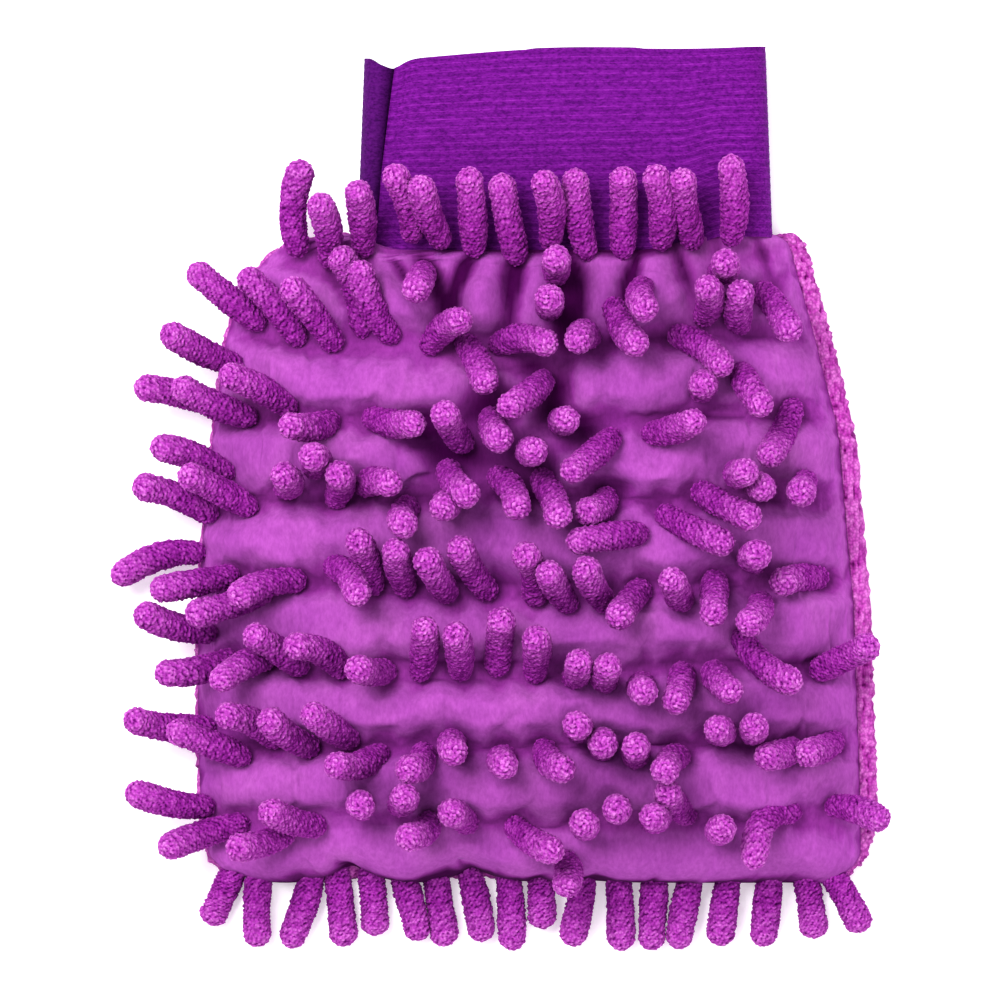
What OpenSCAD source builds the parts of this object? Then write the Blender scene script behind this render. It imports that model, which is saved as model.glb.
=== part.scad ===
// Padded wash mitt: chenille noodle front, plush back, elastic webbing cuff.
// It lies on its back, fingers towards -Y and cuff towards +Y. The origin is on
// the resting plane, under the middle of the mitt with its noodles.

/* [Body] */
// Width across the body, at its widest
body_w = 180; // [172:1:186]
// Length of the body, hem to wrist
body_l = 176; // [170:1:180]
// Height of the padded front's crown above the resting plane
crown_h = 33; // [31:1:36]
// Thickness of the plush back panel, pile included
back_t = 4; // [3.5:0.1:4]
// How far the plush back stands out past the front along its right edge
back_proud = 4; // [1:0.5:5]
// How far the padded front sinks along each row of stitching
row_sink = 3; // [0:0.5:4]

/* [Layers] */
// Thickness of the front panel's microfibre
panel_t = 1.2; // [0.8:0.1:1.5]
// Thickness of the padding behind the front panel
padding_t = 5; // [3:0.5:6]
// Thickness of each lining
lining_t = 0.8; // [0.5:0.1:1]
// Gap between one layer and the next
layer_gap = 0.3; // [0.2:0.05:0.4]
// Diameter of the sewing threads
thread_d = 0.9; // [0.6:0.1:1]

/* [Cuff] */
// Width of the cuff lying flat
cuff_w = 111; // [106:1:112]
// Length of the cuff from the wrist seam to its edge, on the longer side
cuff_l = 50; // [40:1:60]
// Height of the cuff's slightly open loop
cuff_h = 14.5; // [13.5:0.5:15]
// Thickness of the elastic webbing
web_t = 1.5; // [1.2:0.1:1.6]
// How far the back webbing laps under the front webbing
lap = 9; // [6:1:14]
// Slope of the cuff's free edge, in degrees
cuff_slope = 3; // [0:0.5:5]

/* [Noodles] */
// Diameter of a chenille noodle
noodle_d = 7; // [6:0.1:7.2]
// Length of a chenille noodle
noodle_l = 26; // [20:1:27]
// Distance from one row of noodles to the next
row_pitch = 22; // [21:0.5:22.5]

/* [Hidden] */
ROWS = 8;
$fn = 24;

wrist_y = 72;
hem_y = wrist_y - body_l;
sx = body_w / 180;
sy = body_l / 176;
seam_z = back_t + lining_t + layer_gap;
rise_h = crown_h - seam_z;
wrist_share = 0.5;
cuff_x = 17.5;
cuff_r = cuff_h / 2;
cuff_z = 1 + cuff_r;
noodle_r = noodle_d / 2;
first_row_y = 66;

// Side edges of the front, as [y, x] from the hem to the wrist of a 180 x 176 body
LEFT = [[-104, -66], [-102, -73], [-97, -79], [-88, -81], [-65, -82], [-28, -82],
        [0, -80], [26, -77], [46, -74], [60, -68], [67, -62], [70, -56], [72, -42]];
RIGHT = [[-104, 88], [-102, 94], [-97, 98], [-88, 98], [-55, 97], [-28, 96],
         [-6, 94], [18, 92], [46, 85], [60, 81], [68, 79], [71, 77], [72, 74]];

// Side edges at a height up the body, and the share of the way across at a point
function base_y(y) = wrist_y - (wrist_y - y) / sy;
function left_x(y) = sx * lookup(base_y(y), LEFT);
function right_x(y) = sx * lookup(base_y(y), RIGHT);
function across(x, y) = (x - left_x(y)) / (right_x(y) - left_x(y));
function smooth(t) = let (c = min(max(t, 0), 1)) c * c * (3 - 2 * c);
function row_y(i) = first_row_y - (i - 1) * row_pitch;

// Height of the padded front above the seam: up from the hem, down to the wrist
function lengthwise(y) =
    let (from_hem = min(max((y - hem_y) / 38, 0), 1))
    pow(1 - pow(1 - from_hem, 2.4), 0.6)
    * (1 - (1 - wrist_share) * smooth((y - (wrist_y - 62)) / 62));
function crosswise(u) = pow(max(1 - pow(abs(2 * u - 1), 3), 0), 0.55);
function sunk(y) = max([for (i = [2:ROWS]) exp(-pow((y - row_y(i)) / 4, 2))]);
function front_rise(u, y) =
    let (full = rise_h * lengthwise(y) * crosswise(u))
    full - row_sink * sunk(y) * smooth(full / 14);
function front_z(x, y) = seam_z + front_rise(across(x, y), y);

// Stations of the front's grid, close together at the hem, the rows and the wrist
STATIONS = concat(
    [hem_y, hem_y + 0.7, hem_y + 3, hem_y + 7],
    [for (i = [ROWS:-1:2]) each [row_y(i) - 6, row_y(i), row_y(i) + 6]],
    [row_y(1) - 5, row_y(1), wrist_y - 3, wrist_y - 1, wrist_y]
);
LANES = [for (i = [0:16]) 0.5 - 0.5 * cos(180 * i / 16)];

// One face of a front layer, a depth below the outer face
function layer_point(u, y, depth) =
    let (inner_y = max(y, hem_y + depth))
    let (x0 = left_x(inner_y) + depth, x1 = right_x(inner_y) - depth)
    [x0 + u * (x1 - x0), inner_y + (y - hem_y) * 0.001,
     seam_z + front_rise(u, y) * (rise_h - depth) / rise_h];
function layer_face(depth) = [for (y = STATIONS) for (u = LANES) layer_point(u, y, depth)];

// A closed shell between two depths of the padded front
module layer(top, bottom) {
    n = len(LANES);
    m = len(STATIONS);
    k = n * m;
    cells = [for (j = [0:m - 2]) for (i = [0:n - 2]) j * n + i];
    edge = concat(
        [for (i = [0:n - 1]) i],
        [for (j = [1:m - 1]) j * n + n - 1],
        [for (i = [n - 2:-1:0]) (m - 1) * n + i],
        [for (j = [m - 2:-1:1]) j * n]
    );
    e = len(edge);
    faces = concat(
        [for (c = cells) each [[c, c + n, c + n + 1], [c, c + n + 1, c + 1]]],
        [for (c = cells) each [[k + c, k + c + n + 1, k + c + n], [k + c, k + c + 1, k + c + n + 1]]],
        [for (i = [0:e - 1]) let (a = edge[i], b = edge[(i + 1) % e])
            each [[a, b, k + b], [a, k + b, k + a]]]
    );
    polyhedron(concat(layer_face(top), layer_face(bottom)), faces);
}

// A round thread along a path of points
module thread(path, closed = false) {
    n = len(path);
    sides = 6;
    r = thread_d / 2;
    rings = [for (i = [0:n - 1])
        let (before = path[closed ? (i + n - 1) % n : max(i - 1, 0)])
        let (after = path[closed ? (i + 1) % n : min(i + 1, n - 1)])
        let (d = (after - before) / norm(after - before))
        let (side = cross(d, [0, 0, 1]) / norm(cross(d, [0, 0, 1])))
        let (up = cross(side, d))
        each [for (s = [0:sides - 1]) path[i] + r * (cos(s * 60) * side + sin(s * 60) * up)]];
    links = closed ? n - 1 : n - 2;
    tube = [for (i = [0:links]) for (s = [0:sides - 1])
        let (a = i * sides, b = ((i + 1) % n) * sides, t = (s + 1) % sides)
        each [[a + s, a + t, b + t], [a + s, b + t, b + s]]];
    caps = closed ? [] : [[for (s = [sides - 1:-1:0]) s],
                          [for (s = [0:sides - 1]) (n - 1) * sides + s]];
    polyhedron(rings, concat(tube, caps));
}

// One noodle: a round-ended chenille strand from its root, with a compass
// heading (0 is +X, 90 is towards the cuff) and a rise above the level
module noodle(root, heading, rise, length = noodle_l) {
    arc = [for (a = [0:30:90]) a];
    profile = concat(
        [for (a = arc) [noodle_r * sin(a), noodle_r - noodle_r * cos(a)]],
        [for (a = arc) [noodle_r * cos(a), length - noodle_r + noodle_r * sin(a)]]
    );
    translate(root)
        rotate([0, 90 - rise, heading])
            rotate_extrude()
                polygon(profile);
}

// Noodles of the front, by row: [x, y, heading, rise, length when it is shorter]
ROW_1 = [[-54, 66, 87, 12], [-46, 63, 100, 45], [-37, 66, 95, 45], [-24, 70, 107, 40],
         [-21, 61, 250, 75], [-15, 69, 111, 45], [-7, 66, 94, 27], [5, 64, 102, 22],
         [13, 68, 97, 42], [15, 60, 90, 80], [24, 65, 99, 22], [33, 65, 90, 24],
         [39, 58, 275, 72], [43, 68, 96, 34], [53, 68, 101, 38], [58, 61, 60, 82],
         [62, 69, 91, 24]];
ROW_2 = [[-64, 47, 141, 12], [-54, 42, 130, 14], [-44, 41, 127, 30], [-37, 44, 108, 22],
         [-28, 43, 115, 26], [-20, 40, 38, 60], [-10, 43, -64, 55], [-2, 41, 0, 52],
         [12, 33, 218, 55], [13, 52, 90, 84], [25, 43, 200, 80], [30, 54, -60, 55],
         [46, 45, -36, 47], [54, 48, 85, 68], [65, 47, 90, 66], [70, 57, -57, 52]];
ROW_3 = [[-70, 36, 154, 28], [-75, 25, 167, 22], [-66, 22, 156, 24], [-56, 24, 152, 34],
         [-45, 22, 187, 60], [-36, 23, -9, 56], [-9, 14, 122, 64], [-2, 23, -69, 72],
         [9, 15, 300, 86], [16, 22, 0, 84, 20], [31, 18, 220, 47], [39, 18, 15, 56],
         [54, 28, 90, 84, 20], [65, 35, -62, 60], [80, 27, 242, 46]];
ROW_4 = [[-66, -3, 152, 32], [-73, 6, 158, 30], [-77, -5, 158, 26], [-59, 3, 90, 80],
         [-51, 8, 90, 82], [-45, -1, 80, 72], [-37, 3, 5, 70], [-24, -1, -100, 77],
         [-16, 0, 270, 85], [-14, 9, -52, 66], [-2, 7, -58, 62], [10, 7, -66, 58],
         [29, 2, 214, 64, 20], [39, -9, 187, 36], [43, -3, -26, 34], [53, 3, -28, 46],
         [64, 8, 0, 85], [73, 3, 180, 86], [83, 6, 240, 80]];
ROW_5 = [[-80, -15, 196, 8], [-71, -20, 191, 26], [-62, -24, 198, 26], [-53, -22, 195, 42],
         [-46, -18, -48, 62], [-34, -25, 107, 52], [-25, -25, 103, 60], [-14, -25, 121, 60],
         [-2, -26, 122, 50], [9, -28, 103, 56], [19, -29, 122, 62], [29, -28, 120, 60],
         [49, -27, 117, 72], [39, -23, 230, 64], [58, -21, 265, 64], [70, -17, 90, 84],
         [70, -27, 235, 72], [88, -21, 187, 60]];
ROW_6 = [[-77, -36, 163, 34], [-72, -42, 192, 36], [-62, -43, 205, 52], [-53, -46, 144, 46],
         [-42, -47, 152, 50], [-30, -46, 171, 70], [-22, -48, 84, 55], [-11, -47, 96, 60],
         [-1, -47, 85, 52], [9, -48, 88, 62], [19, -48, 73, 77], [29, -49, 85, 77],
         [39, -49, 270, 85], [49, -46, 254, 68], [58, -46, -51, 72], [64, -35, -41, 34],
         [84, -47, 27, 32, 22]];
ROW_7 = [[-68, -70, 158, 28], [-77, -61, 174, 24], [-60, -66, 152, 48], [-50, -67, 143, 52],
         [-40, -65, 143, 55], [-31, -67, 193, 56], [-21, -67, 225, 75], [-12, -66, 270, 85],
         [2, -69, 270, 85], [12, -66, -45, 70], [20, -62, 90, 85], [28, -68, 90, 85],
         [36, -70, 90, 80], [49, -69, 219, 75], [57, -63, 90, 85], [68, -62, 90, 85],
         [79, -67, 192, 68], [91, -65, 198, 66]];
ROW_8 = [[-78, -83, 168, 26], [-68, -87, 198, 20], [-57, -89, 196, 52], [-48, -88, 160, 52],
         [-37, -84, 90, 85], [-28, -83, 60, 80], [-19, -86, 211, 72], [-8, -88, 140, 75],
         [3, -87, -30, 56], [17, -97, 270, 60, 17], [22, -88, 90, 85], [31, -85, 90, 85],
         [40, -87, 90, 85], [52, -86, 130, 66], [60, -90, 90, 85], [81, -85, 228, 44],
         [89, -83, -15, 46, 22]];
FRONT_ROWS = [ROW_1, ROW_2, ROW_3, ROW_4, ROW_5, ROW_6, ROW_7, ROW_8];
// Noodles of the hem: [x, heading, length]
HEM = [[-74, 245, 12], [-65, 268, 17], [-52, 252, 18], [-44, 276, 17], [-35, 275, 14],
       [-26, 286, 16], [-17, 278, 17], [-8, 282, 16], [2, 274, 18], [11, 272, 12],
       [22, 260, 17], [32, 273, 18], [42, 267, 18], [52, 258, 18], [62, 262, 17],
       [73, 264, 17], [83, 280, 15], [91, 300, 15]];

module noodle_row(i) {
    color("mediumorchid")
        for (n = FRONT_ROWS[i - 1])
            let (lift = 0.8 * (noodle_r * cos(n[3]) - sin(n[3])))
            noodle([n[0], n[1], front_z(n[0], n[1]) + lift], n[2], n[3],
                   len(n) > 4 ? n[4] * noodle_l / 26 : noodle_l);
}

module hem_noodles() {
    color("mediumorchid")
        for (n = HEM)
            noodle([n[0], hem_y - 0.1, noodle_r + 0.7], n[1], 0, n[2] * noodle_l / 26);
}

// Outline of the flat back, from the front's side edges; on the right the back
// stands proud of them
module back_outline(inset, stands_out = back_proud) {
    ys = [for (y = STATIONS) y];
    m = len(ys);
    function proud(y) = stands_out * smooth((y - hem_y) / 20);
    function down(y) = y == hem_y ? hem_y - 1.5 + inset : max(y, hem_y + inset);
    polygon(concat(
        [for (j = [0:m - 1]) [right_x(ys[j]) + proud(ys[j]) - inset, down(ys[j])]],
        [for (j = [m - 1:-1:0]) [left_x(ys[j]) + inset, down(ys[j])]]
    ));
}

module back_panel() {
    color("orchid")
        linear_extrude(back_t)
            back_outline(0);
}

module back_lining() {
    color("plum")
        translate([0, 0, back_t])
            linear_extrude(lining_t)
                intersection() {
                    back_outline(6, 0);
                    translate([-150, hem_y + 6])
                        square([300, body_l - 6.3]);
                }
}

module front_panel() {
    color("orchid")
        layer(0, panel_t);
}

module front_padding() {
    color("thistle")
        layer(panel_t + layer_gap, panel_t + layer_gap + padding_t);
}

module front_lining() {
    inner = panel_t + padding_t + 2 * layer_gap;
    color("plum")
        layer(inner, inner + lining_t);
}

// A strip of webbing across the cuff, as a band along a path in the XZ plane
function band(path, t) =
    let (n = len(path))
    let (side = [for (i = [0:n - 1])
        let (d = path[min(i + 1, n - 1)] - path[max(i - 1, 0)])
        t / 2 * [-d.y, d.x] / norm(d)])
    concat([for (i = [0:n - 1]) path[i] + side[i]],
           [for (i = [n - 1:-1:0]) path[i] - side[i]]);
function bow(cx, cz, r, from, to, steps = 8) =
    [for (s = [0:steps]) let (a = from + (to - from) * s / steps) [cx + r * cos(a), cz + r * sin(a)]];

module cuff_half(path) {
    difference() {
        translate([0, wrist_y + cuff_l, 0])
            rotate([90, 0, 0])
                linear_extrude(cuff_l - 0.3)
                    polygon(band(path, web_t));
        translate([cuff_x + cuff_w / 2, wrist_y + cuff_l, -1])
            rotate([0, 0, cuff_slope])
                translate([-2 * cuff_w, 0, 0])
                    cube([3 * cuff_w, cuff_l, cuff_h * 2]);
    }
}

right_end = cuff_x + cuff_w / 2 - cuff_r;
left_end = cuff_x - cuff_w / 2 + cuff_r;
web_r = cuff_r - web_t / 2;
lap_r = web_r - 0.9;
front_edge_x = left_end + 1;

module cuff_back() {
    color("indigo")
        cuff_half(concat(
            [[front_edge_x + lap, cuff_z + lap_r - 0.9]],
            bow(left_end, cuff_z - 0.9, lap_r, 90, 180),
            bow(left_end, cuff_z, web_r, 195, 270),
            bow(right_end, cuff_z, web_r, 270, 356)
        ));
}

module cuff_front() {
    color("rebeccapurple")
        cuff_half(concat(
            bow(right_end, cuff_z, web_r, 4, 90),
            [[front_edge_x, cuff_z + web_r]]
        ));
}

// Bars of thread that close the lap, under the front webbing
module cuff_lap_thread() {
    z = cuff_z + lap_r - 0.9 - web_t / 2;
    color("purple")
        for (x = [front_edge_x + 2, front_edge_x + lap - 2])
            thread([[x, wrist_y + 3, z], [x, wrist_y + cuff_l / 2, z], [x, wrist_y + cuff_l - 9, z]]);
}

module wrist_thread_back() {
    color("purple")
        thread([for (x = [left_end:8:right_end]) [x, wrist_y, 1 + web_t]]);
}

module wrist_thread_front() {
    color("purple")
        thread([for (s = [2:14])
            let (u = s / 16, x = left_x(wrist_y) + u * (right_x(wrist_y) - left_x(wrist_y)))
            [x, wrist_y, front_z(x, wrist_y) - panel_t]]);
}

// The seam that joins front and back, half sunk in the back panel's top
module perimeter_thread() {
    ys = [for (y = [hem_y + 4:8:wrist_y - 6]) y];
    m = len(ys);
    color("purple")
        thread(concat(
            [for (j = [m - 1:-1:0]) [right_x(ys[j]) - 3, ys[j], back_t]],
            [for (j = [0:m - 1]) [left_x(ys[j]) + 3, ys[j], back_t]]
        ));
}

module row_thread(i) {
    y = row_y(i) - 2.4;
    color("purple")
        thread([for (s = [1:15])
            let (x = left_x(y) + s / 16 * (right_x(y) - left_x(y)))
            [x, y, front_z(x, y)]]);
}

back_panel();
back_lining();
cuff_back();
cuff_lap_thread();
hem_noodles();
perimeter_thread();
wrist_thread_back();
front_panel();
front_padding();
front_lining();
cuff_front();
wrist_thread_front();
for (i = [1:ROWS]) noodle_row(i);
for (i = [1:ROWS]) row_thread(i);
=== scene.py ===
"""Looks of the wash mitt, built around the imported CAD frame. Metres, Z up, cuff towards +Y."""
import math

import bpy
import numpy as np
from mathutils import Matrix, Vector
from mathutils.bvhtree import BVHTree


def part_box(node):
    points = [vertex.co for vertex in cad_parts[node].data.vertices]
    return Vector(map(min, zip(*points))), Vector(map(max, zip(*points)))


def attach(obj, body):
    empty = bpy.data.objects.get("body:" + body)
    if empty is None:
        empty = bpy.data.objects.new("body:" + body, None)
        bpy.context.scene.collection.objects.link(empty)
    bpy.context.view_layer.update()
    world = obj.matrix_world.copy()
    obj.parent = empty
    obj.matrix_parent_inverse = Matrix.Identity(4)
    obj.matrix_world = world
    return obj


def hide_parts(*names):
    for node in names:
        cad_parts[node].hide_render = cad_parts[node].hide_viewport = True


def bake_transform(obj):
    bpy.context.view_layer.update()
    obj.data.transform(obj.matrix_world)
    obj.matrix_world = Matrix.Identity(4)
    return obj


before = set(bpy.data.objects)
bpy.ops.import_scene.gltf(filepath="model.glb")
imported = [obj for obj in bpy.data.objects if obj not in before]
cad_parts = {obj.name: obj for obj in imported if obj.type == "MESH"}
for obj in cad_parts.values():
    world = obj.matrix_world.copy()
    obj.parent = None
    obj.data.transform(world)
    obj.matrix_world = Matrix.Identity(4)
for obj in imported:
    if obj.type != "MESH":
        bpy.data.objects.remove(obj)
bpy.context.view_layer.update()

MM = 0.001
UP = Vector((0, 0, 1))

# ---------------------------------------------------------------- places from the frame
PANEL_LOW, PANEL_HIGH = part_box("front_panel")
SEAM_Z = PANEL_LOW[2]
HEM_Y = PANEL_LOW[1]
WRIST_Y = PANEL_HIGH[1]
CUFF_BACK_LOW, CUFF_BACK_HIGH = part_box("cuff_back")
CUFF_FRONT_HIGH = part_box("cuff_front")[1]
BACK_LOW, BACK_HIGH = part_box("back_panel")
ROW_COUNT = sum(name.startswith("noodle_row_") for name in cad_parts)
ROWS = range(1, ROW_COUNT + 1)

# How near two points lie to count as one point, and as points at one height
WELD = 0.01 * MM
SAME_LEVEL = 0.05 * MM


def node_arrays(name):
    """A CAD node's vertices and faces."""
    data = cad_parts[name].data
    points = np.array([v.co for v in data.vertices], float)
    return points, [tuple(p.vertices) for p in data.polygons]


def welded(points, faces):
    """The same surface with one vertex where several lie together."""
    keys = np.round(points / WELD).astype(int)
    _, first, where = np.unique(keys, axis=0, return_index=True, return_inverse=True)
    where = where.ravel()
    joined = [tuple(int(where[v]) for v in face) for face in faces]
    return points[first], [face for face in joined if len(set(face)) == len(face)]


def edges_of(name, z):
    """Functions of y for the left and right edge of a node's outline at height z."""
    points, _ = node_arrays(name)
    ring = points[abs(points[:, 2] - z) < SAME_LEVEL]
    ys = np.unique(np.round(ring[:, 1], 4))
    left = [ring[abs(ring[:, 1] - y) < 1e-4, 0].min() for y in ys]
    right = [ring[abs(ring[:, 1] - y) < 1e-4, 0].max() for y in ys]
    return lambda y: np.interp(y, ys, left), lambda y: np.interp(y, ys, right)


front_left, front_right = edges_of("front_panel", SEAM_Z)
back_left, back_right = edges_of("back_panel", BACK_LOW[2])


def tree_of(points, faces):
    """A search tree over a mesh, for heights and nearest points."""
    return BVHTree.FromPolygons([Vector(p) for p in points], faces)


def height_on(tree, x, y, default):
    """Height of the first surface met from above at (x, y)."""
    hit = tree.ray_cast(Vector((x, y, 0.2)), -UP)[0]
    return default if hit is None else hit.z


# ---------------------------------------------------------------- mesh helpers
def new_piece(name, points, faces, material):
    """A smooth-shaded mesh piece with one material in a named slot."""
    mesh = bpy.data.meshes.new(name)
    mesh.from_pydata(np.asarray(points, float).tolist(), [], faces)
    mesh.update()
    mesh.polygons.foreach_set("use_smooth", [True] * len(mesh.polygons))
    piece = bpy.data.objects.new(name, mesh)
    bpy.context.scene.collection.objects.link(piece)
    mesh.materials.append(material)
    return piece


def set_attribute(piece, name, values):
    layer = piece.data.attributes.new(name, "FLOAT", "POINT")
    layer.data.foreach_set("value", np.asarray(values, np.float32))


def grid_faces(rows, columns, first=0, flip=False):
    cells = []
    for j in range(rows - 1):
        for i in range(columns - 1):
            a = first + j * columns + i
            cell = (a, a + 1, a + columns + 1, a + columns)
            cells.append(cell[::-1] if flip else cell)
    return cells


def shell(top, bottom):
    """A closed solid between two grids of rows x columns x 3 points."""
    rows, columns = top.shape[:2]
    count = rows * columns
    rim = list(range(columns))
    rim += [j * columns + columns - 1 for j in range(1, rows)]
    rim += [(rows - 1) * columns + i for i in range(columns - 2, -1, -1)]
    rim += [j * columns for j in range(rows - 2, 0, -1)]
    faces = grid_faces(rows, columns) + grid_faces(rows, columns, count, flip=True)
    for k, a in enumerate(rim):
        b = rim[(k + 1) % len(rim)]
        faces.append((b, a, count + a, count + b))
    return np.concatenate([top.reshape(-1, 3), bottom.reshape(-1, 3)]), faces


def eased(count, pull):
    """count shares from 0 to 1, closer together near both ends."""
    s = np.linspace(0, 1, count)
    return s - pull * np.sin(2 * math.pi * s)


def smooth_step(t):
    """0 below 0 and 1 above 1, easing in between."""
    t = np.clip(t, 0, 1)
    return t * t * (3 - 2 * t)


def waves(points, seed, scale, octaves=3):
    """Smooth wandering values from -1 to 1 over points, from a few summed sines."""
    rng = np.random.default_rng(seed)
    total = np.zeros(len(points))
    for octave in range(octaves):
        for _ in range(5):
            direction = rng.normal(size=3)
            direction /= np.linalg.norm(direction)
            pitch = scale / 1.9**octave
            total += np.sin(points @ direction * 2 * math.pi / pitch + rng.uniform(0, 6.28)) / 1.8**octave
    return total / 6


# ---------------------------------------------------------------- materials
def principled(name, roughness, sheen, sheen_tint, specular=0.25):
    material = bpy.data.materials.new(name)
    material.use_nodes = True
    shader = material.node_tree.nodes["Principled BSDF"]
    shader.inputs["Roughness"].default_value = roughness
    shader.inputs["Sheen Weight"].default_value = sheen
    shader.inputs["Sheen Roughness"].default_value = 0.45
    shader.inputs["Sheen Tint"].default_value = (*sheen_tint, 1)
    shader.inputs["Specular IOR Level"].default_value = specular
    return material, material.node_tree, shader


def noise(tree, scale, detail=3.0, roughness=0.55, stretch=None):
    """A noise value over the object's own coordinates."""
    place = tree.nodes.new("ShaderNodeTexCoord")
    source = place.outputs["Object"]
    if stretch:
        mapping = tree.nodes.new("ShaderNodeMapping")
        mapping.inputs["Scale"].default_value = stretch
        tree.links.new(source, mapping.inputs["Vector"])
        source = mapping.outputs["Vector"]
    node = tree.nodes.new("ShaderNodeTexNoise")
    node.inputs["Scale"].default_value = scale
    node.inputs["Detail"].default_value = detail
    node.inputs["Roughness"].default_value = roughness
    tree.links.new(source, node.inputs["Vector"])
    return node.outputs["Fac"]


def ramp(tree, value, stops):
    """A colour ramp over value, from (position, (r, g, b)) stops."""
    node = tree.nodes.new("ShaderNodeValToRGB")
    bands = node.color_ramp
    while len(bands.elements) < len(stops):
        bands.elements.new(0.5)
    for band, (position, colour) in zip(bands.elements, stops):
        band.position = position
        band.color = (*colour, 1)
    tree.links.new(value, node.inputs["Fac"])
    return node.outputs["Color"]


def mix_colour(tree, share, first, second, kind="MIX"):
    node = tree.nodes.new("ShaderNodeMix")
    node.data_type = "RGBA"
    node.blend_type = kind
    for socket, value in ((node.inputs[0], share), (node.inputs[6], first), (node.inputs[7], second)):
        if isinstance(value, (int, float)):
            socket.default_value = value
        elif isinstance(value, tuple):
            socket.default_value = (*value, 1)
        else:
            tree.links.new(value, socket)
    return node.outputs[2]


def maths(tree, kind, first, second):
    node = tree.nodes.new("ShaderNodeMath")
    node.operation = kind
    for socket, value in zip(node.inputs, (first, second)):
        if isinstance(value, (int, float)):
            socket.default_value = value
        else:
            tree.links.new(value, socket)
    return node.outputs[0]


def attribute(tree, name):
    node = tree.nodes.new("ShaderNodeAttribute")
    node.attribute_name = name
    return node.outputs["Fac"]


def bump(tree, shader, height, strength, distance):
    node = tree.nodes.new("ShaderNodeBump")
    node.inputs["Strength"].default_value = strength
    node.inputs["Distance"].default_value = distance
    tree.links.new(height, node.inputs["Height"])
    tree.links.new(node.outputs["Normal"], shader.inputs["Normal"])


def suede():
    """Brushed microfibre: short nap in two tones, with painted shade deepening the colour where the fabric is
    drawn in and under the cuff.
    """
    material, tree, shader = principled("suede_microfibre", 0.9, 0.04, (1.0, 0.4, 1.0), 0.04)
    blotch = noise(tree, 45, 4, 0.6)
    nap = noise(tree, 900, 2, 0.7, stretch=(1.0, 0.45, 1.0))
    base = ramp(tree, blotch, [
        (0.3, (0.37, 0.074, 0.40)),
        (0.55, (0.44, 0.102, 0.46)),
        (0.75, (0.475, 0.128, 0.485)),
    ])
    # Painted shade: the colour darkens towards deep purple in the creases, folds and hollows and under the
    # cuff.
    depth = ramp(tree, attribute(tree, "painted_shade"), [
        (0.3, (1.0, 1.0, 1.0)),
        (0.55, (0.74, 0.48, 0.74)),
        (1.0, (0.17, 0.02, 0.17)),
    ])
    fibres = ramp(tree, nap, [(0.3, (0.80, 0.72, 0.80)), (0.7, (1.0, 1.0, 1.0))])
    # The nap's colour with the painted shade multiplied in.
    drawn = mix_colour(tree, 1.0, base, depth, "MULTIPLY")
    tree.links.new(mix_colour(tree, 1.0, drawn, fibres, "MULTIPLY"), shader.inputs["Base Color"])
    bump(tree, shader, maths(tree, "ADD", nap, noise(tree, 260, 3)), 0.35, 0.0003)
    return material


def crumbs(tree, size):
    """0 at the middle of each small crumb to 1 in the gaps between them."""
    place = tree.nodes.new("ShaderNodeTexCoord")
    node = tree.nodes.new("ShaderNodeTexVoronoi")
    node.inputs["Scale"].default_value = 1 / size
    node.inputs["Randomness"].default_value = 0.9
    tree.links.new(place.outputs["Object"], node.inputs["Vector"])
    return node.outputs["Distance"]


def chenille():
    """Looped pile, with painted shade between the crumbs, a painted highlight on their tops, and a paler
    painted highlight towards the tip.
    """
    material, tree, shader = principled("chenille", 0.95, 0.02, (1.0, 0.3, 1.0), 0.02)
    pile = attribute(tree, "pile")
    along = attribute(tree, "along")
    # Painted shade and highlight: dark where the pile is low between the crumbs, bright on their tops.
    body = ramp(tree, pile, [
        (0.1, (0.11, 0.004, 0.13)),
        (0.5, (0.34, 0.027, 0.36)),
        (0.95, (0.54, 0.09, 0.54)),
    ])
    # Painted highlight: a paler copy of the pile colour, blended in towards each strand's tip.
    tip_highlight = ramp(tree, pile, [
        (0.1, (0.24, 0.012, 0.26)),
        (0.5, (0.54, 0.085, 0.54)),
        (0.95, (0.76, 0.25, 0.74)),
    ])
    share = ramp(tree, along, [(0.5, (0, 0, 0)), (1.0, (1, 1, 1))])
    colour = mix_colour(tree, share, body, tip_highlight)
    gaps = crumbs(tree, 0.75 * MM)
    # Painted shade in the gaps between the crumbs.
    shade = ramp(tree, gaps, [(0.2, (1.0, 1.0, 1.0)), (0.75, (0.60, 0.50, 0.60))])
    tree.links.new(mix_colour(tree, 1.0, colour, shade, "MULTIPLY"), shader.inputs["Base Color"])
    bump(tree, shader, maths(tree, "SUBTRACT", 1.0, gaps), 0.5, 0.0003)
    return material


def plush():
    """Short dense pile of the back, pinker than the face, with painted shade between the crumbs and a painted
    highlight on their tops.
    """
    material, tree, shader = principled("plush_pile", 0.95, 0.04, (1.0, 0.5, 1.0), 0.03)
    pile = attribute(tree, "pile")
    # Painted shade and highlight: dark where the pile is low between the crumbs, bright on their tops.
    base = ramp(tree, pile, [
        (0.05, (0.20, 0.008, 0.18)),
        (0.4, (0.50, 0.06, 0.44)),
        (1.0, (0.80, 0.26, 0.72)),
    ])
    gaps = crumbs(tree, 0.8 * MM)
    # Painted shade in the gaps between the crumbs.
    shade = ramp(tree, gaps, [(0.25, (1.0, 1.0, 1.0)), (0.75, (0.6, 0.48, 0.6))])
    tree.links.new(mix_colour(tree, 1.0, base, shade, "MULTIPLY"), shader.inputs["Base Color"])
    bump(tree, shader, maths(tree, "SUBTRACT", 1.0, gaps), 0.5, 0.0003)
    return material


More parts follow.
